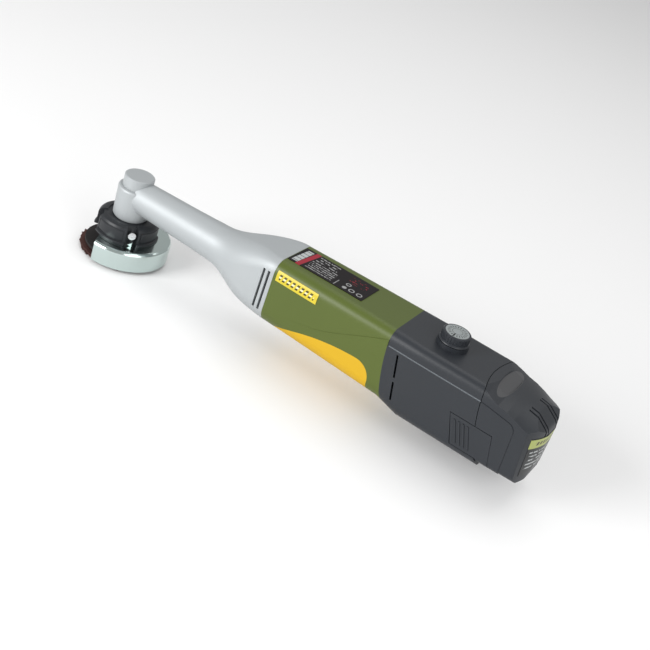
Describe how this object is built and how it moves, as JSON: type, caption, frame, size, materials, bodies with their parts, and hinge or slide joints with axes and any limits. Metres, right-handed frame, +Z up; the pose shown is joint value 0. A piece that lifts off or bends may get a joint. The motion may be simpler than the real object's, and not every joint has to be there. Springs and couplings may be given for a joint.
{
  "type": "cordless angle grinder",
  "caption": "Slim cordless right-angle grinder: long round alloy neck, flap disc under a half-round swivelling guard, square grip body, speed dial and slide-in battery pack.",
  "frame": {"origin": "centre of the gear head's flat top face, on the spindle's axis", "axes": "+X back along the neck and body towards the battery pack, +Z up along the spindle away from the disc, +Y to the operator's right"},
  "size_m": [0.3037, 0.0558, 0.0677],
  "materials": {
    "cast_alloy": "satin",
    "bright_steel": "ground",
    "zinc_plate": "bright zinc plating",
    "green_plastic": "fine texture",
    "yellow_grip": "soft touch",
    "dark_plastic": "fine texture",
    "black_plastic": "satin",
    "label_film": "printed film",
    "badge_film": "printed film",
    "abrasive": "coarse grain",
    "backing_fibre": "woven fibre",
    "copper": "enamelled",
    "magnet": "sintered",
    "iron_core": "stacked sheet",
    "carbon": "sintered",
    "bronze": "sintered",
    "board_green": "lacquered board",
    "wire_cover": "insulation",
    "cell_wrap": "shrink wrap",
    "dial_metal": "satin"
  },
  "bodies": {
    "housing": {"gear_head_housing": "cast_alloy", "head_top_cap": "cast_alloy", "spindle_upper_bearing": "bright_steel", "spindle_lower_bearing": "bright_steel", "bearing_retainer": "bright_steel", "neck_front_bearing": "bright_steel", "neck_rear_bearing": "bright_steel", "motor_can": "zinc_plate", "motor_end_bell": "black_plastic", "motor_bushings": "bronze", "field_magnets": "magnet", "carbon_brushes": "carbon", "motor_mount_plate": "bright_steel", "motor_screws": "bright_steel", "motor_housing": "green_plastic", "flange_screws": "bright_steel", "grip_inlay": "yellow_grip", "side_badges": "badge_film", "rating_label": "label_film", "rear_housing": "dark_plastic", "rear_housing_screws": "bright_steel", "speed_control": "black_plastic", "control_board": "board_green", "power_transistor": "black_plastic", "contact_block": "black_plastic", "contact_blades": "copper", "internal_leads": "wire_cover"},
    "guard": {"wheel_guard": "zinc_plate", "guard_clamp": "black_plastic", "clamp_screw": "bright_steel"},
    "spindle": {"output_spindle": "bright_steel", "crown_bevel_gear": "bright_steel", "inner_flange": "bright_steel", "disc_backing": "backing_fibre", "abrasive_flaps": "abrasive", "outer_flange": "bright_steel", "disc_screw": "bright_steel"},
    "drive": {"bevel_pinion": "bright_steel", "drive_shaft": "bright_steel", "shaft_coupling": "bright_steel", "motor_shaft": "bright_steel", "cooling_fan": "black_plastic", "armature_core": "iron_core", "armature_windings": "copper", "commutator": "copper"},
    "dial": {"speed_dial": "dark_plastic", "dial_shaft": "bright_steel", "dial_scale_plate": "dial_metal"},
    "battery": {"battery_case": "dark_plastic", "battery_nose": "dark_plastic", "battery_cells": "cell_wrap", "cell_links": "dial_metal", "protection_board": "board_green", "pack_contacts": "copper", "battery_label": "label_film", "latch_spring_left": "bright_steel", "latch_spring_right": "bright_steel"},
    "latch_left": {"latch_button_left": "dark_plastic"},
    "latch_right": {"latch_button_right": "dark_plastic"}
  },
  "joints": [
    {"name": "drive_spin", "type": "hinge", "parent": "housing", "child": "drive", "pos_m": [0.05, 0, -0.012], "axis": [1, 0, 0], "continuous": true},
    {"name": "spindle_spin", "type": "hinge", "parent": "housing", "child": "spindle", "pos_m": [0, 0, -0.012], "axis": [0, 0, 1], "continuous": true},
    {"name": "guard_swing", "type": "hinge", "parent": "housing", "child": "guard", "pos_m": [0, 0, -0.012], "axis": [0, 0, 1], "range_deg": [-90, 90]},
    {"name": "dial_turn", "type": "hinge", "parent": "housing", "child": "dial", "pos_m": [0.2114, 0, 0.01], "axis": [0, 0, -1], "range_deg": [0, 270]},
    {"name": "battery_slide", "type": "slide", "parent": "housing", "child": "battery", "axis": [1, 0, 0], "range_m": [0, 0.06]},
    {"name": "latch_left_press", "type": "slide", "parent": "battery", "child": "latch_left", "axis": [0, 1, 0], "range_m": [0, 0.0012], "stiffness_N_per_m": 2000, "springref_m": -0.0008, "deforming": ["latch_spring_left"]},
    {"name": "latch_right_press", "type": "slide", "parent": "battery", "child": "latch_right", "axis": [0, -1, 0], "range_m": [0, 0.0012], "stiffness_N_per_m": 2000, "springref_m": -0.0008, "deforming": ["latch_spring_right"]}
  ],
  "couplings": [
    {"joint": "spindle_spin", "follows": "drive_spin", "ratio": -0.59091}
  ]
}
